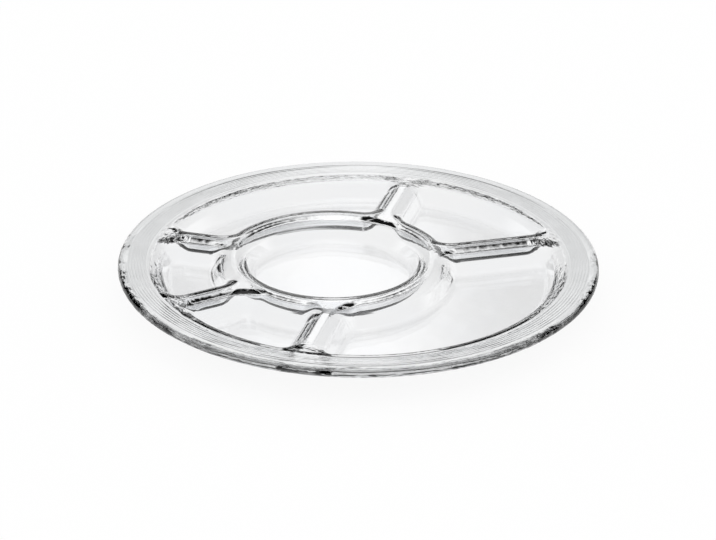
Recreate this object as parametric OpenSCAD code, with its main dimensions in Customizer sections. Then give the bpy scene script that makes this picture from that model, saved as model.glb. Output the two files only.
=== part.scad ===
// Fondue plate: one pressing of clear glass, with an off-centre sauce well, five dishes round it,
// rounded dividers and a wide border. The well and the dishes are pans of even thickness that hang from
// a sheet of glass, so the dividers and the ring round the well are hollow underneath. The plate
// stands on the flat undersides of the pans. Millimetres, +Z up, standing on z = 0.

/* [Plate] */
// Outer diameter of the plate
plate_d = 240; // [220:1:270]
// Thickness of the glass
glass_t = 4.2; // [3.6:0.1:4.6]
// Depth of the dishes under the crests of the dividers
dish_depth = 11; // [10:0.1:13]

/* [Border] */
// Width of the border, from the edge of the dishes to the outer edge
border_w = 15; // [15:0.5:20]
// Width of the level crest between the dishes and the border
wall_crest = 0.8; // [0.6:0.1:0.9]
// How far the border climbs from the dishes to the outer edge
border_rise = 1; // [0.4:0.1:2]
// Number of fine pressed rings on the border
ring_count = 6; // [3:1:6]
// Distance from one fine ring to the next
ring_pitch = 1.5; // [1.2:0.1:1.5]
// Height of a fine ring
ring_h = 0.1; // [0.05:0.05:0.3]
// Width of the plain strip between the outer edge and the fine rings
plain_strip_w = 5; // [4:0.1:5]

/* [Dividers] */
// Direction of the first divider, counter-clockwise from +X
first_divider = 15; // [0:1:40]
// Angle of the dish after the first divider
right_span = 60; // [50:0.5:70]
// Angle of the dish behind the well
back_span = 90; // [75:0.5:100]
// Angle of the upper small dish on the left
left_span = 45; // [40:0.5:55]
// Angle of the lower small dish, in front of it; the large dish takes the rest of the turn
front_span = 46; // [40:0.5:55]
// Width of the level strip on the crest of a divider
divider_crest = 3; // [2:0.1:6]
// Slope of the flanks of the dishes, from the horizontal
flank_angle = 65; // [60:1:70]
// Radius where a flank rolls over into the crest
crest_r = 8; // [6:0.1:9]
// Radius where a flank runs out into the floor
toe_r = 2; // [1:0.1:3]
// Radius where a flank runs out into the flat underside
under_toe_r = 2.5; // [1.5:0.1:4]
// Radius of a dish's corners in plan, on its floor
corner_r = 0.6; // [0.5:0.1:3]

/* [Well] */
// How far the well's axis lies from the plate's axis, towards -X
well_offset = 13; // [8:0.5:15]
// How far the well's axis lies from the plate's axis, towards +Y
well_back = 2.5; // [0:0.5:5]
// Radius of the crest line of the ring round the well
well_r = 50.3; // [44:0.1:52]
// Width of the level strip on the crest of the ring
well_crest = 1; // [0.6:0.1:4]
// How much wider the ring's outer flank is than a divider's
ring_flare = 1.1; // [1:0.05:1.5]

/* [Hidden] */
glass_colour = [0.86, 0.90, 0.90, 0.55];
$fn = 180;

plate_r = plate_d / 2;
wall_r = plate_r - border_w;
well_axis = [-well_offset, well_back];
z_floor = glass_t;
z_crest = z_floor + dish_depth;
z_roof = z_crest - glass_t;
z_rim = z_crest + border_rise;

// A flank runs through the level of the crests at this slope and ends this far above it
lip_angle = 10;
lip_h = 0.1;
// A pan's underside is carried on by this height into the sheet above it
bite = 0.8;
// Steps in a rounded corner, steps in an arc of a flank, and the angle of a step along a wall
corner_steps = 6;
arc_steps = 3;
wall_step = 4;
// Steps round the half circle of the outer edge
edge_steps = 10;

spans = [right_span, back_span, left_span, front_span];
divider_angles = [for (i = 0, a = first_divider; i <= len(spans);
    a = a + (i < len(spans) ? spans[i] : 0), i = i + 1) a];

function polar(r, a) = [r * cos(a), r * sin(a)];
function between(a, b, n) = [for (j = [0:n]) a + (b - a) * j / n];

// Flank of a dish: [distance in from the level strip's edge, height], from the floor up and over the crest
flank_run = (dish_depth - (toe_r + crest_r) * (1 - cos(flank_angle))) / sin(flank_angle);
flank_w = (toe_r + crest_r) * sin(flank_angle) + flank_run * cos(flank_angle);
lip_end = crest_r * tan(lip_angle / 2) - lip_h / tan(lip_angle);
flank = concat(
    [for (a = between(0, flank_angle, arc_steps))
        [flank_w - toe_r * sin(a), z_floor + toe_r * (1 - cos(a))]],
    [for (a = between(flank_angle, lip_angle, arc_steps))
        [crest_r * sin(a), z_crest - crest_r * (1 - cos(a))]],
    [[lip_end, z_crest + lip_h]]);

// The same flank on the underside, one glass thickness away, from the flat underside up into the sheet
under_foot = flank_w - (toe_r + glass_t) * tan(flank_angle / 2);
under_flank = concat(
    [for (a = between(0, flank_angle, arc_steps))
        [under_foot + under_toe_r * (tan(flank_angle / 2) - sin(a)), under_toe_r * (1 - cos(a))]],
    [[under_foot - (z_roof + bite) / tan(flank_angle), z_roof + bite]]);

// Half outline of a dish from its first divider to its last, outer side and inner side. The section
// holds [half width of the dividers, radius of the wall, radius of the ring, corner radius].
function outer_side(a, b, s) =
    let (k = s[0] + s[3], along = sqrt(pow(s[1] - s[3], 2) - k * k), turn = atan2(k, along),
        steps = ceil((b - a) / wall_step))
    concat(
        [for (t = between(a - 90, a + turn, corner_steps))
            polar(norm([k, along]), a + turn) + polar(s[3], t)],
        [for (j = [1:steps - 1]) polar(s[1], a + turn + (b - a - 2 * turn) * j / steps)],
        [for (t = between(b - turn, b + 90, corner_steps))
            polar(norm([k, along]), b - turn) + polar(s[3], t)]);

function ring_turn(a, side, s) =
    let (across = s[0] + s[3] - side * well_axis * polar(1, a + 90))
    asin(across / (s[2] + s[3]));

function inner_side(a, b, s) =
    let (from = a + ring_turn(a, 1, s), to = b - ring_turn(b, -1, s), r = s[2] + s[3],
        steps = ceil((b - a) / wall_step))
    concat(
        [for (t = between(a - 90, from - 180, corner_steps))
            well_axis + polar(r, from) + polar(s[3], t)],
        [for (j = [1:steps - 1]) well_axis + polar(s[2], from + (to - from) * j / steps)],
        [for (t = between(to + 180, b + 90, corner_steps))
            well_axis + polar(r, to) + polar(s[3], t)]);

function reversed(v) = [for (i = [len(v) - 1:-1:0]) v[i]];

// Pan between the dividers at a and b: a solid through a stack of such outlines, one for each point of
// the given profile, which holds [distance in from the level strip's edge, height]
module pan(a, b, profile) {
    rings = [for (p = profile)
        let (s = [divider_crest / 2 + p[0], wall_r - p[0], well_r + well_crest / 2 + ring_flare * p[0],
            corner_r + flank_w - p[0]])
        [for (v = concat(outer_side(a, b, s), reversed(inner_side(a, b, s)))) [v[0], v[1], p[1]]]];
    n = len(rings[0]);
    top = (len(rings) - 1) * n;
    sides = [for (i = [0:len(rings) - 2], j = [0:n - 1])
        let (p = i * n + j, q = i * n + (j + 1) % n)
        each [[p, p + n, q + n], [p, q + n, q]]];
    caps = [for (j = [0:n / 2 - 2])
        let (p = j, q = j + 1, r = n - 2 - j, s = n - 1 - j)
        each [[p, q, r], [p, r, s], [top + p, top + r, top + q], [top + p, top + s, top + r]]];
    polyhedron([for (ring = rings) each ring], concat(sides, caps));
}

// Round pan of the well, from the same profile turned about the well's axis
module well_pan(profile) {
    bottom = profile[0][1];
    top = profile[len(profile) - 1][1];
    translate(well_axis) rotate_extrude() polygon(concat(
        [[0, bottom]],
        [for (p = profile) [well_r - well_crest / 2 - p[0], p[1]]],
        [[0, top]]));
}

// Sheet at crest level with the border, its fine rings and the rounded outer edge
module sheet() {
    edge_r = glass_t / 2;
    edge_c = plate_r - edge_r;
    rings_from = plate_r - plain_strip_w - ring_count * ring_pitch;
    rings_to = plate_r - plain_strip_w;
    border_in = wall_r + wall_crest;
    function border_z(r) = z_crest + border_rise * (r - border_in) / (edge_c - border_in);
    fine_rings = [for (i = [0:ring_count - 1], k = [0, 1])
        let (r = rings_from + (i + k / 2) * ring_pitch) [r, border_z(r) + k * ring_h]];
    edge = [for (a = between(90, -90, edge_steps)) [edge_c, z_rim - edge_r] + polar(edge_r, a)];
    rotate_extrude() polygon(concat(
        [[0, z_crest], [border_in, z_crest]],
        fine_rings,
        [[rings_to, border_z(rings_to)]],
        edge,
        [[border_in, z_roof], [0, z_roof]]));
}

// The last dish runs round to the first divider again
function dish_end(i) = i < len(spans) ? divider_angles[i + 1] : first_divider + 360;

module all_pans(profile) {
    well_pan(profile);
    for (i = [0:len(spans)]) pan(divider_angles[i], dish_end(i), profile);
}

module glass_plate() {
    color(glass_colour) difference() {
        union() {
            sheet();
            all_pans(under_flank);
        }
        all_pans(flank);
    }
}

glass_plate();
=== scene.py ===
"""Fondue plate of clear pressed glass on a white table top, in soft studio light."""

import math

import bpy
import numpy as np
from mathutils import Matrix, Vector


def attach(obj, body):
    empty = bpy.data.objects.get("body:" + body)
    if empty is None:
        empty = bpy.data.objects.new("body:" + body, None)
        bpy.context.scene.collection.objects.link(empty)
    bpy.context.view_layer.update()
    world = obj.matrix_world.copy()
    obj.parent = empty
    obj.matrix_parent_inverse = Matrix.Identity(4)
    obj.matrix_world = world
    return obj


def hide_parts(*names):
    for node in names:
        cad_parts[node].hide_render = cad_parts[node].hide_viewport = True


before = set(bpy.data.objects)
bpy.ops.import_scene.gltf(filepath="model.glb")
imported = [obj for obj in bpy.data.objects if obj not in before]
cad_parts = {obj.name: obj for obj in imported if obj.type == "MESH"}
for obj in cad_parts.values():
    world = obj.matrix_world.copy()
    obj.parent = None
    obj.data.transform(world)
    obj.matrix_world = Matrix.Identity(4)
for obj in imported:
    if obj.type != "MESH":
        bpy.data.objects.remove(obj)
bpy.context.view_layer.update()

# Plate: one pressing of clear soda-lime glass. A plunger pushes the well and the five dishes down out of
# a flat sheet, so the glass keeps one thickness and the dividers are hollow underneath. The outer edge is
# fire-polished round, and the mould leaves fine rings on the border. Sizes are in millimetres.
MM = 0.001
FULL_TURN = 2 * math.pi
PLATE_R, GLASS_T = 120.0, 4.2
WALL_R, BORDER_RISE = 105.0, 1.0
FINE_FROM, FINE_COUNT, FINE_PITCH, FINE_H = 106.0, 6, 1.5, 0.1
DISH_DEPTH, FLANK = 11.0, math.radians(65)
CREST_R, TOE_R = 8.0, 2.0
UNDER_CREST_R, UNDER_TOE_R = 3.8, 5.2
DIVIDER_AT = np.radians((15.0, 75.0, 165.0, 210.0, 256.0))
DIVIDER_HALF, FLOOR_CORNER_R = 1.5, 0.6
WELL_X, WELL_Y, WELL_R = -13.0, 2.5, 50.3
RING_HALF, RING_FLARE = 0.5, 1.1
EDGE_R = GLASS_T / 2
Z_CREST = GLASS_T + DISH_DEPTH
Z_RIM = Z_CREST + BORDER_RISE

# Rows and columns of the mesh: counts of points, and distances where a row or a gap is set by itself
CREST_ROWS, SLOPE_ROWS, TOE_ROWS, FLOOR_ROW = 10, 5, 8, 1.2
UNDER_CREST_ROWS, UNDER_SLOPE_ROWS = 5, 7
WELL_FLOOR_ROWS, SLIDE_ROWS = (8, 18, 27, 34), 10
FINE_ROWS, STRIP_ROWS, UNDER_BORDER_ROWS, EDGE_ROWS = 5, 3, 5, 15
CREST_COLUMNS, DISH_COLUMNS, COLUMN_GAP = 7, (20, 34, 12, 12, 50), 0.2

# Glass: its two drifting tints, the border's greyer tint that is painted shade, absorption per metre and the
# marks of the mould.
# Each mark has the width of its blotches, its height and where it starts and is full.
GLASS_IOR = 1.52
TINT_A, TINT_B = (0.98, 0.988, 1.0, 1), (0.992, 0.996, 1.0, 1)
DRIFT_SIZE, DRIFT_LOW, DRIFT_HIGH = 30.0, 0.35, 0.65
# Painted shade: the border gets a greyer tint that darkens it as shade would
BORDER_PAINTED_SHADE, BORDER_SHADE_FROM = (0.84, 0.85, 0.855, 1), 103.0
ABSORB, ABSORB_TINT = 9.0, (0.0, 0.0, 0.0, 1)
ROUGH, HAZE_SIZE, HAZE_LOW, HAZE_HIGH = 0.02, 6.0, 0.3, 0.7
WAVE_SIZE, WAVE_H = 14.0, 0.06
PIT_SIZE, PIT_H, PITS_FROM, PITS_FULL = 3.0, 0.9, 115.3, 117.3
PITS_NEAR, PITS_FAR = 10.0, 35.0
PATCH_SIZE, PATCH_LOW, PATCH_HIGH, PATCH_LEAST = 28.0, 0.42, 0.58, 0.1
RIPPLE_SIZE, RIPPLE_H, RIPPLE_FALL, RIPPLE_IN = 3.5, 0.11, 3.5, 103.0
END_SIZE, END_H, END_FROM, END_FULL, END_HALF = 2.4, 1.3, 90.0, 97.0, 6.0
STREAK, WALL_SHARE = 2.5, 0.3


def flank_width(toe_r, crest_r):
    """Plan width of a flank: both arcs' sines and the straight slope's cosine added up."""
    slope = (DISH_DEPTH - (toe_r + crest_r) * (1 - math.cos(FLANK))) / math.sin(FLANK)
    return (toe_r + crest_r) * math.sin(FLANK) + slope * math.cos(FLANK)


def flank_height(inset, toe_r, crest_r):
    """Height over the floor at a distance in from the crest's edge: an arc of the crest radius rolls over
    from the level crest, a straight slope goes down, and an arc of the toe radius runs out into the floor."""
    width = flank_width(toe_r, crest_r)
    d = np.clip(inset, 0, width)
    over = crest_r * math.sin(FLANK)
    out = width - toe_r * math.sin(FLANK)
    crest = DISH_DEPTH - crest_r + np.sqrt(crest_r**2 - np.minimum(d, over) ** 2)
    slope = DISH_DEPTH - crest_r * (1 - math.cos(FLANK)) - (d - over) * math.tan(FLANK)
    toe = toe_r - np.sqrt(toe_r**2 - np.minimum(width - d, toe_r * math.sin(FLANK)) ** 2)
    return np.where(d < over, crest, np.where(d < out, slope, toe))


def rounded_min(a, b):
    """The smaller of two distances, with a circle where both are small: its radius is the floor's corner
    radius plus a flank's width."""
    corner_r = FLOOR_CORNER_R + flank_width(TOE_R, CREST_R)
    corner = corner_r - np.hypot(np.maximum(corner_r - a, 0), np.maximum(corner_r - b, 0))
    return np.where((a < corner_r) & (b < corner_r), corner, np.minimum(a, b))


def pan_inset(x, y):
    """Distance in from the edge of the crests. In a dish it is the rounded minimum of the distances to its
    two dividers, to the ring round the well and to the wall; in the well it is the distance to the ring."""
    angle = np.arctan2(y, x)
    ring = np.hypot(x - WELL_X, y - WELL_Y) - WELL_R
    to_ring = (ring - RING_HALF) / RING_FLARE
    to_wall = WALL_R - np.hypot(x, y)
    inset = -ring - RING_HALF
    for start, end in zip(DIVIDER_AT, np.append(DIVIDER_AT[1:], DIVIDER_AT[0] + FULL_TURN)):
        past_start = y * math.cos(start) - x * math.sin(start) - DIVIDER_HALF
        before_end = x * math.sin(end) - y * math.cos(end) - DIVIDER_HALF
        dish = rounded_min(rounded_min(rounded_min(past_start, before_end), to_ring), to_wall)
        inset = np.where(((angle - start) % FULL_TURN < end - start) & (ring > 0), dish, inset)
    return inset


def border_lift(r):
    """How far the border has climbed: a straight rise from the wall to the edge."""
    return BORDER_RISE * np.clip((r - WALL_R) / (PLATE_R - EDGE_R - WALL_R), 0, 1)


def top_height(x, y):
    """Floor level plus the flank's height, the border's rise and the cosine waves of the fine rings."""
    r = np.hypot(x, y)
    wave = np.clip((r - FINE_FROM) / FINE_PITCH, 0, FINE_COUNT)
    fine = FINE_H * 0.5 * (1 - np.cos(FULL_TURN * wave))
    return GLASS_T + flank_height(pan_inset(x, y), TOE_R, CREST_R) + border_lift(r) + fine


def under_height(x, y):
    """The flank again, one glass thickness away from the upper one along the straight slope."""
    shift = (CREST_R - GLASS_T - UNDER_CREST_R) * math.tan(FLANK / 2)
    return flank_height(pan_inset(x, y) - shift, UNDER_TOE_R, UNDER_CREST_R) + border_lift(np.hypot(x, y))


def facing(height, x, y, side):
    """Unit normals of a height field from its slopes; side is 1 for the top and -1 for the underside."""
    step = 0.01
    dx = (height(x + step, y) - height(x - step, y)) / (2 * step)
    dy = (height(x, y + step) - height(x, y - step)) / (2 * step)
    n = np.stack([-dx, -dy, np.ones_like(dx)], -1) * side
    return n / np.linalg.norm(n, axis=-1, keepdims=True)


def flank_stations(toe_r, crest_r, crest_rows, slope_rows):
    """Distances in from the crest's edge: even steps over the crest's arc, down the slope and along the
    toe's arc, and one more step out on the dish's floor."""
    width = flank_width(toe_r, crest_r)
    over = crest_r * math.sin(FLANK)
    out = width - toe_r * math.sin(FLANK)
    return np.concatenate([
        np.linspace(0, over, crest_rows),
        np.linspace(over, out, slope_rows)[1:-1],
        np.linspace(out, width, TOE_ROWS),
        [flank_width(TOE_R, CREST_R) + FLOOR_ROW]])


# Stations across the upper and the lower flank, and both together for the columns beside a divider
top_stations = flank_stations(TOE_R, CREST_R, CREST_ROWS, SLOPE_ROWS)
under_stations = flank_stations(UNDER_TOE_R, UNDER_CREST_R, UNDER_CREST_ROWS, UNDER_SLOPE_ROWS)
column_stations = np.unique(np.round(np.concatenate([top_stations, under_stations]), 3))
column_stations = column_stations[np.append(np.diff(column_stations) > COLUMN_GAP, True)]


def nested_circles(stations, border):
    """How far each row's centre lies towards the well's axis, and its radius: circles round the well's axis
    as far as the ring's outer toe, circles that slide over to the plate's axis, then circles round that."""
    last = stations[-1]
    well = np.concatenate([WELL_FLOOR_ROWS, (WELL_R - RING_HALF - stations)[::-1]])
    ring = np.concatenate([[WELL_R], WELL_R + RING_HALF + RING_FLARE * stations])
    slide = np.linspace(0, 1, SLIDE_ROWS)[1:-1]
    wall = np.concatenate([(WALL_R - stations)[::-1], border])
    radius = np.concatenate([well, ring, ring[-1] + (WALL_R - last - ring[-1]) * slide, wall])
    towards_well = np.concatenate([np.ones(len(well) + len(ring)), 1 - slide, np.zeros(len(wall))])
    return towards_well[:, None], radius[:, None]


def plate_grid(towards_well, radius):
    """Points of the grid. Along each divider the columns are lines parallel to its ray, cut with the row's
    circle; across a dish they are spread evenly in angle. Inside the ring they run straight to its axis."""
    reach = np.maximum(radius, WELL_R)
    centre_x, centre_y = WELL_X * towards_well, WELL_Y * towards_well
    crest = np.linspace(-DIVIDER_HALF, DIVIDER_HALF, CREST_COLUMNS)[1:-1]
    beside = DIVIDER_HALF + column_stations
    offset = np.concatenate([-beside[::-1], crest, beside])[None, :]

    def divider_lines(angle):
        """Directions, seen from the rows' centres, in which each line at its offset meets each circle."""
        away = offset + centre_x * math.sin(angle) - centre_y * math.cos(angle)
        along = centre_x * math.cos(angle) + centre_y * math.sin(angle) + np.sqrt(reach**2 - away**2)
        px = along * math.cos(angle) - offset * math.sin(angle) - centre_x
        py = along * math.sin(angle) + offset * math.cos(angle) - centre_y
        return angle + (np.arctan2(py, px) - angle + math.pi) % FULL_TURN - math.pi

    lines = [divider_lines(a) for a in DIVIDER_AT]
    blocks = []
    for i, count in enumerate(DISH_COLUMNS):
        begin = lines[i][:, -1:]
        end = lines[(i + 1) % len(lines)][:, :1]
        share = np.linspace(0, 1, count + 2)[None, 1:-1]
        blocks += [lines[i], begin + ((end - begin) % FULL_TURN) * share]
    turn = np.concatenate(blocks, 1)
    return centre_x + radius * np.cos(turn), centre_y + radius * np.sin(turn)


edge_from, fine_to = PLATE_R - EDGE_R, FINE_FROM + FINE_COUNT * FINE_PITCH
border_rows = np.concatenate([
    [(WALL_R + FINE_FROM) / 2],
    np.linspace(FINE_FROM, fine_to, FINE_COUNT * FINE_ROWS + 1),
    np.linspace(fine_to, edge_from, STRIP_ROWS)[1:]])
under_border_rows = np.linspace(WALL_R, edge_from, UNDER_BORDER_ROWS)[1:]
top_x, top_y = plate_grid(*nested_circles(top_stations, border_rows))
under_x, under_y = plate_grid(*nested_circles(under_stations, under_border_rows))
under_x, under_y = under_x[::-1], under_y[::-1]

# The round edge: a half circle from the border's top to its underside
roll = np.linspace(math.pi / 2, -math.pi / 2, EDGE_ROWS)[1:-1, None]
out_x, out_y = top_x[-1:] / edge_from, top_y[-1:] / edge_from
edge_r = edge_from + EDGE_R * np.cos(roll)
edge_x, edge_y = out_x * edge_r, out_y * edge_r
edge_z = Z_RIM - EDGE_R + EDGE_R * np.sin(roll) + 0 * edge_x
edge_n = np.stack([out_x * np.cos(roll), out_y * np.cos(roll), np.sin(roll) + 0 * edge_x], -1)

# All rows from the well's floor over the edge to the underside, and a pole in the middle of each side
grid = np.concatenate([
    np.stack([top_x, top_y, top_height(top_x, top_y)], -1),
    np.stack([edge_x, edge_y, edge_z], -1),
    np.stack([under_x, under_y, under_height(under_x, under_y)], -1)])
normals = np.concatenate([
    facing(top_height, top_x, top_y, 1), edge_n, facing(under_height, under_x, under_y, -1)])
poles = np.array([[WELL_X, WELL_Y, GLASS_T], [WELL_X, WELL_Y, 0]])
points = np.concatenate([grid.reshape(-1, 3), poles]) * MM
point_normals = np.concatenate([normals.reshape(-1, 3), [[0, 0, 1], [0, 0, -1]]])

# How close each point is to a divider's line: 1 within a set distance, easing to 0 over as much again
plan_x, plan_y = points[:, :1] / MM, points[:, 1:2] / MM
across = np.abs(plan_y * np.cos(DIVIDER_AT) - plan_x * np.sin(DIVIDER_AT))
ahead = plan_x * np.cos(DIVIDER_AT) + plan_y * np.sin(DIVIDER_AT) > 0
near_divider = (np.clip(2 - across / END_HALF, 0, 1) * ahead).max(1)

# Four-sided faces between the rows, closed round the turn, and fans of triangles to the poles
index = np.arange(grid.shape[0] * grid.shape[1]).reshape(grid.shape[:2])
next_index = np.roll(index, -1, 1)
quads = np.stack([index[:-1], index[1:], next_index[1:], next_index[:-1]], -1).reshape(-1, 4)
top_pole, under_pole = index.size, index.size + 1
fans = np.concatenate([
    np.column_stack([np.full(index.shape[1], top_pole), index[0], next_index[0]]),
    np.column_stack([np.full(index.shape[1], under_pole), next_index[-1], index[-1]])])
corners = np.concatenate([quads.ravel(), fans.ravel()])
starts = np.concatenate([np.arange(len(quads)) * 4, quads.size + np.arange(len(fans)) * 3])

plate_mesh = bpy.data.meshes.new("glass_plate_pressing")
plate_mesh.vertices.add(len(points))
plate_mesh.vertices.foreach_set("co", points.astype(np.float32).ravel())
plate_mesh.loops.add(len(corners))
plate_mesh.loops.foreach_set("vertex_index", corners.astype(np.int32))
plate_mesh.polygons.add(len(starts))
plate_mesh.polygons.foreach_set("loop_start", starts.astype(np.int32))
plate_mesh.polygons.foreach_set("use_smooth", np.ones(len(starts), bool))
plate_mesh.update(calc_edges=True)
plate_mesh.validate()
plate_mesh.normals_split_custom_set_from_vertices(point_normals.astype(np.float32))
closeness = plate_mesh.attributes.new("near_divider", "FLOAT", "POINT")
closeness.data.foreach_set("value", near_divider.astype(np.float32))
plate = bpy.data.objects.new("glass_plate_pressing", plate_mesh)
bpy.context.scene.collection.objects.link(plate)

glass = bpy.data.materials.new("clear_glass")
glass.use_nodes = True
nodes, links = glass.node_tree.nodes, glass.node_tree.links
shader = nodes["Principled BSDF"]
shader.inputs["Transmission Weight"].default_value = 1.0
shader.inputs["IOR"].default_value = GLASS_IOR
absorb = nodes.new("ShaderNodeVolumeAbsorption")
absorb.inputs["Color"].default_value = ABSORB_TINT
absorb.inputs["Density"].default_value = ABSORB
links.new(absorb.outputs[0], nodes["Material Output"].inputs["Volume"])
surface = nodes.new("ShaderNodeTexCoord").outputs["Object"]


def noise(size, detail, where=surface):
    """A noise over the piece's own coordinates, whose blotches are about this many millimetres wide."""
    cloud = nodes.new("ShaderNodeTexNoise")
    cloud.inputs["Scale"].default_value = 1 / (size * MM)
    cloud.inputs["Detail"].default_value = detail
    links.new(where, cloud.inputs["Vector"])
    return cloud.outputs["Fac"]


def remap(value, low, high, to_low, to_high, easing="LINEAR"):
    """The value's range from low to high, carried over to another range and held at its ends."""
    stretch = nodes.new("ShaderNodeMapRange")
    stretch.interpolation_type = easing
    for name, bound in zip(("From Min", "From Max", "To Min", "To Max"), (low, high, to_low, to_high)):
        stretch.inputs[name].default_value = bound
    links.new(value, stretch.inputs["Value"])
    return stretch.outputs[0]


def combine(operation, a, b=None):
    """A Math node in the node tree at hand, over a socket and a second socket or a plain number."""
    math_node = nodes.new("ShaderNodeMath")
    math_node.operation = operation
    links.new(a, math_node.inputs[0])
    if isinstance(b, float):
        math_node.inputs[1].default_value = b
    elif b is not None:
        links.new(b, math_node.inputs[1])
    return math_node.outputs[0]


def vector(operation, a, b=None):
    """A Vector Math node over a socket and a second socket or a plain vector."""
    vector_node = nodes.new("ShaderNodeVectorMath")
    vector_node.operation = operation
    links.new(a, vector_node.inputs[0])
    if isinstance(b, tuple):
        vector_node.inputs[1].default_value = b
    elif b is not None:
        links.new(b, vector_node.inputs[1])
    return vector_node.outputs


# Where a point lies: its distance from the plate's axis, and its coordinates one by one
flat = vector("MULTIPLY", surface, (1, 1, 0))["Vector"]
reach = vector("LENGTH", flat)["Value"]
axes_node = nodes.new("ShaderNodeSeparateXYZ")
links.new(surface, axes_node.inputs[0])
axes = axes_node.outputs

# Coordinates for marks that run along the rim: the direction on a smaller circle, and reach plus height
small_circle = vector("MULTIPLY", vector("NORMALIZE", flat)["Vector"], (PLATE_R * MM / STREAK,) * 3)["Vector"]
section = nodes.new("ShaderNodeCombineXYZ")
links.new(combine("ADD", reach, axes["Z"]), section.inputs["Z"])
rim = vector("ADD", small_circle, section.outputs[0])["Vector"]

# The tint drifts a little, as iron and cords do in pressed glass, and the border is painted greyer as painted
# shade
drift = nodes.new("ShaderNodeMix")
drift.data_type = "RGBA"
drift.inputs["A"].default_value = TINT_A
drift.inputs["B"].default_value = TINT_B
links.new(remap(noise(DRIFT_SIZE, 2), DRIFT_LOW, DRIFT_HIGH, 0, 1), drift.inputs["Factor"])
# Painted shade: over the border, the drifting tint gives way to a grey one
tint_and_painted_shade = nodes.new("ShaderNodeMix")
tint_and_painted_shade.data_type = "RGBA"
tint_and_painted_shade.inputs["B"].default_value = BORDER_PAINTED_SHADE
links.new(remap(reach, BORDER_SHADE_FROM * MM, FINE_FROM * MM, 0, 1), tint_and_painted_shade.inputs["Factor"])
links.new(drift.outputs["Result"], tint_and_painted_shade.inputs["A"])
links.new(tint_and_painted_shade.outputs["Result"], shader.inputs["Base Color"])
links.new(remap(noise(HAZE_SIZE, 3), HAZE_LOW, HAZE_HIGH, 0.0, ROUGH), shader.inputs["Roughness"])

# The surface is slightly wavy all over
relief = remap(noise(WAVE_SIZE, 1), 0, 1, 0, WAVE_H * MM)

# The near half of the round edge is pitted, more in some patches than in others
on_edge = combine("MULTIPLY", remap(reach, PITS_FROM * MM, PITS_FULL * MM, 0, 1),
                  remap(axes["Y"], PITS_NEAR * MM, PITS_FAR * MM, 1, 0))
patches = remap(noise(PATCH_SIZE, 1), PATCH_LOW, PATCH_HIGH, PATCH_LEAST, 1)
pits = remap(noise(PIT_SIZE, 2, rim), 0, 1, 0, PIT_H * MM)
relief = combine("ADD", relief, combine("MULTIPLY", pits, combine("MULTIPLY", on_edge, patches)))

# The crests inside the border are rippled, by the plunger that pressed them
on_crest = combine("MULTIPLY", remap(axes["Z"], (Z_CREST - RIPPLE_FALL) * MM, Z_CREST * MM, 0, 1),
                   remap(reach, RIPPLE_IN * MM, WALL_R * MM, 1, 0))
ripples = remap(noise(RIPPLE_SIZE, 1), 0, 1, 0, RIPPLE_H * MM)
relief = combine("ADD", relief, combine("MULTIPLY", on_crest, ripples))

# The dividers' outer ends are mottled, and the rest of the wall's crest a little
divider_node = nodes.new("ShaderNodeAttribute")
divider_node.attribute_name = "near_divider"
by_divider = remap(divider_node.outputs["Fac"], 0, 1, WALL_SHARE, 1)
outer_end = combine("MULTIPLY", remap(reach, END_FROM * MM, END_FULL * MM, 0, 1), by_divider)
mottling = remap(noise(END_SIZE, 1, rim), 0, 1, 0, END_H * MM)
relief = combine("ADD", relief, combine("MULTIPLY", combine("MULTIPLY", on_crest, outer_end), mottling))

bump = nodes.new("ShaderNodeBump")
bump.inputs["Strength"].default_value = 1.0
bump.inputs["Distance"].default_value = 1.0
links.new(relief, bump.inputs["Height"])
links.new(bump.outputs[0], shader.inputs["Normal"])
plate_mesh.materials.append(glass)
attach(plate, "root")
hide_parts("glass_plate")

# Table: a wide white sheet that the plate stands on, a hair under the glass. In the glass and through it
# the sheet is plain white. Seen straight on it is mostly so, and the rest of it takes the plate's shadow.
# Its sizes are in metres.
TABLE_HALF, TABLE_GAP = 3.0, 0.0002
TABLE_PAINT, SEEN_WHITE, GLOW = (0.97, 0.97, 0.97, 1), 0.92, 1.0
table_mesh = bpy.data.meshes.new("table")
table_mesh.from_pydata(
    [(-TABLE_HALF, -TABLE_HALF, -TABLE_GAP), (TABLE_HALF, -TABLE_HALF, -TABLE_GAP),
     (TABLE_HALF, TABLE_HALF, -TABLE_GAP), (-TABLE_HALF, TABLE_HALF, -TABLE_GAP)], [], [(0, 1, 2, 3)])
table = bpy.data.objects.new("table", table_mesh)
bpy.context.scene.collection.objects.link(table)

white = bpy.data.materials.new("table_white")
white.use_nodes = True
nodes, links = white.node_tree.nodes, white.node_tree.links
paint = nodes["Principled BSDF"]
paint.inputs["Base Color"].default_value = TABLE_PAINT
paint.inputs["Roughness"].default_value = 1.0
paint.inputs["Specular IOR Level"].default_value = 0.0
glow = nodes.new("ShaderNodeEmission")
glow.inputs["Strength"].default_value = GLOW
ray = nodes.new("ShaderNodeLightPath").outputs
seen_straight_on = combine("MULTIPLY", ray["Is Camera Ray"], SEEN_WHITE)
seen_in_glass = combine("MAXIMUM", ray["Is Glossy Ray"], ray["Is Transmission Ray"])
mix = nodes.new("ShaderNodeMixShader")
links.new(combine("MAXIMUM", seen_straight_on, seen_in_glass), mix.inputs[0])
links.new(paint.outputs[0], mix.inputs[1])
links.new(glow.outputs[0], mix.inputs[2])
links.new(mix.outputs[0], nodes["Material Output"].inputs["Surface"])
table_mesh.materials.append(white)

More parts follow.
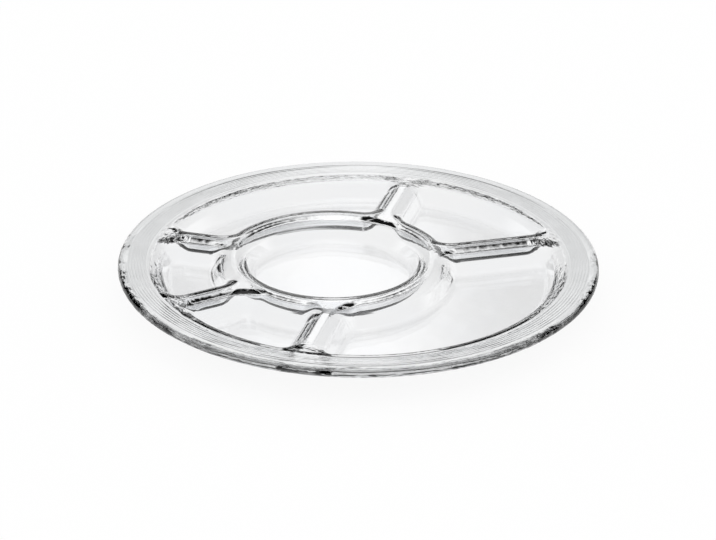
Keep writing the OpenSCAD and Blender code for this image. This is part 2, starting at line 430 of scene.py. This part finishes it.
# Studio: a bright ceiling and white walls low down, with a dark gap between them that draws the glass's
# outlines, and one soft panel across the table whose reflection lies in the middle of the plate. Paint, by
# its diffuse rays, gets plain light of level 1 from all round, so it renders as it is written.
WALLS = ((-1, 1.0), (0, 1.0), (0.14, 0.9), (0.22, 0.0), (0.5, 0.0),
         (0.56, 0.1), (0.92, 0.1), (0.98, 1.0), (1, 1.0))
PANEL_UP, PANEL_HALF_H, PANEL_SOFT_H = math.radians(32), math.radians(30), math.radians(3)
PANEL_SIDE, PANEL_HALF_W, PANEL_SOFT_W = math.radians(-0.5), math.radians(3.3), math.radians(2.7)
PANEL_LEVEL = 1.2
world = bpy.data.worlds.new("studio")
bpy.context.scene.world = world
world.use_nodes = True
nodes, links = world.node_tree.nodes, world.node_tree.links
direction_node = nodes.new("ShaderNodeSeparateXYZ")
links.new(nodes.new("ShaderNodeTexCoord").outputs["Generated"], direction_node.inputs[0])
direction = direction_node.outputs


def levels(component, bands):
    """Light level along one component of the direction, from a list of (component, level)."""
    tone = nodes.new("ShaderNodeValToRGB")
    links.new(remap(component, -1, 1, 0, 1), tone.inputs[0])
    stops = tone.color_ramp.elements
    stops[0].position, stops[1].position = 0.0, 1.0
    for at, _ in bands[1:-1]:
        stops.new((at + 1) / 2)
    for stop, (_, level) in zip(stops, bands):
        stop.color = (level, level, level, 1)
    return tone.outputs[0]


def soft_span(angle, middle, half, soft):
    """1 within half a width of the middle angle, easing to 0 over the soft edge."""
    away = combine("ABSOLUTE", combine("SUBTRACT", angle, middle))
    return remap(away, half - soft, half + soft, 1, 0, "SMOOTHSTEP")


sideways = combine("ARCTAN2", direction["X"], direction["Y"])
upwards = combine("ARCSINE", direction["Z"])
panel = combine("MULTIPLY", soft_span(sideways, PANEL_SIDE, PANEL_HALF_W, PANEL_SOFT_W),
                soft_span(upwards, PANEL_UP, PANEL_HALF_H, PANEL_SOFT_H))
room_light = combine("MAXIMUM", levels(direction["Z"], WALLS), combine("MULTIPLY", panel, PANEL_LEVEL))
diffuse_ray = nodes.new("ShaderNodeLightPath").outputs["Is Diffuse Ray"]
links.new(combine("MAXIMUM", room_light, diffuse_ray), nodes["Background"].inputs["Color"])

# Camera: a long lens from the front, 26 degrees above the table, aimed at the plate's axis at the height
# of its rim and rolled by half a degree. The focal length and the picture's centre are in pixels.
IMAGE_W, IMAGE_H = 716, 540
FOCAL_PX, CENTRE_PX, SENSOR_MM = 1996.0, (358.5, 254.5), 36
CAMERA_UP, CAMERA_FAR, CAMERA_ROLL = math.radians(25.8), 1.0, math.radians(0.54)
BOUNCES = 32
lens = bpy.data.cameras.new("camera")
lens.sensor_width = SENSOR_MM
lens.lens = FOCAL_PX / IMAGE_W * lens.sensor_width
lens.shift_x = -(CENTRE_PX[0] - IMAGE_W / 2) / IMAGE_W
lens.shift_y = (CENTRE_PX[1] - IMAGE_H / 2) / IMAGE_W
camera = bpy.data.objects.new("camera", lens)
bpy.context.scene.collection.objects.link(camera)
back = Vector((0, -math.cos(CAMERA_UP), math.sin(CAMERA_UP)))
look = (-back).to_track_quat("-Z", "Y").to_matrix().to_4x4()
stand = Matrix.Translation(Vector((0, 0, Z_RIM * MM)) + back * CAMERA_FAR)
camera.matrix_world = stand @ look @ Matrix.Rotation(CAMERA_ROLL, 4, "Z")
bpy.context.scene.camera = camera
bpy.context.scene.view_settings.view_transform = "Standard"
bpy.context.scene.cycles.max_bounces = BOUNCES
bpy.context.scene.cycles.transmission_bounces = BOUNCES
